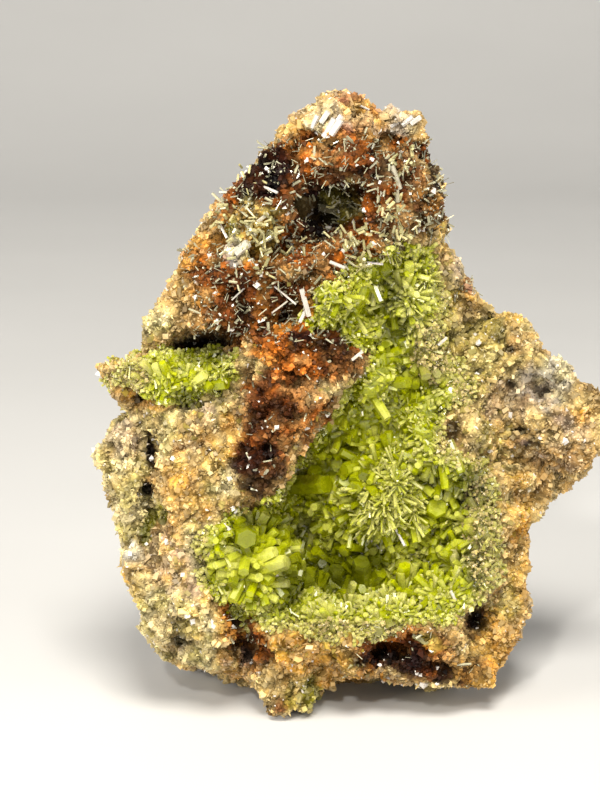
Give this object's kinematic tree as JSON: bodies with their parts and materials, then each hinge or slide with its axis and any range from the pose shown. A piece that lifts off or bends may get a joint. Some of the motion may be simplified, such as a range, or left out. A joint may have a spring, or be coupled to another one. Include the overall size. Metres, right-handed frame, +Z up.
{
  "type": "pyromorphite specimen",
  "caption": "Rough iron-stained rock that stands on its trimmed base, with an open pocket and a ledge lined with lime-green hexagonal crystals, for display.",
  "frame": {"origin": "bottom centre of the bounding box, on the surface that the specimen stands on", "axes": "+Z up, +X to the right of the face with the crystal pocket, +Y away from that face"},
  "size_m": [0.0642, 0.0344, 0.0784],
  "materials": {
    "rock": "rough, granular, iron-stained",
    "pocket_crystals": "resinous, translucent lime green",
    "ledge_crystals": "resinous, translucent yellow-green"
  },
  "bodies": {
    "root": {"matrix": "rock", "pocket_crystals": "pocket_crystals", "ledge_crystals": "ledge_crystals"}
  },
  "joints": []
}
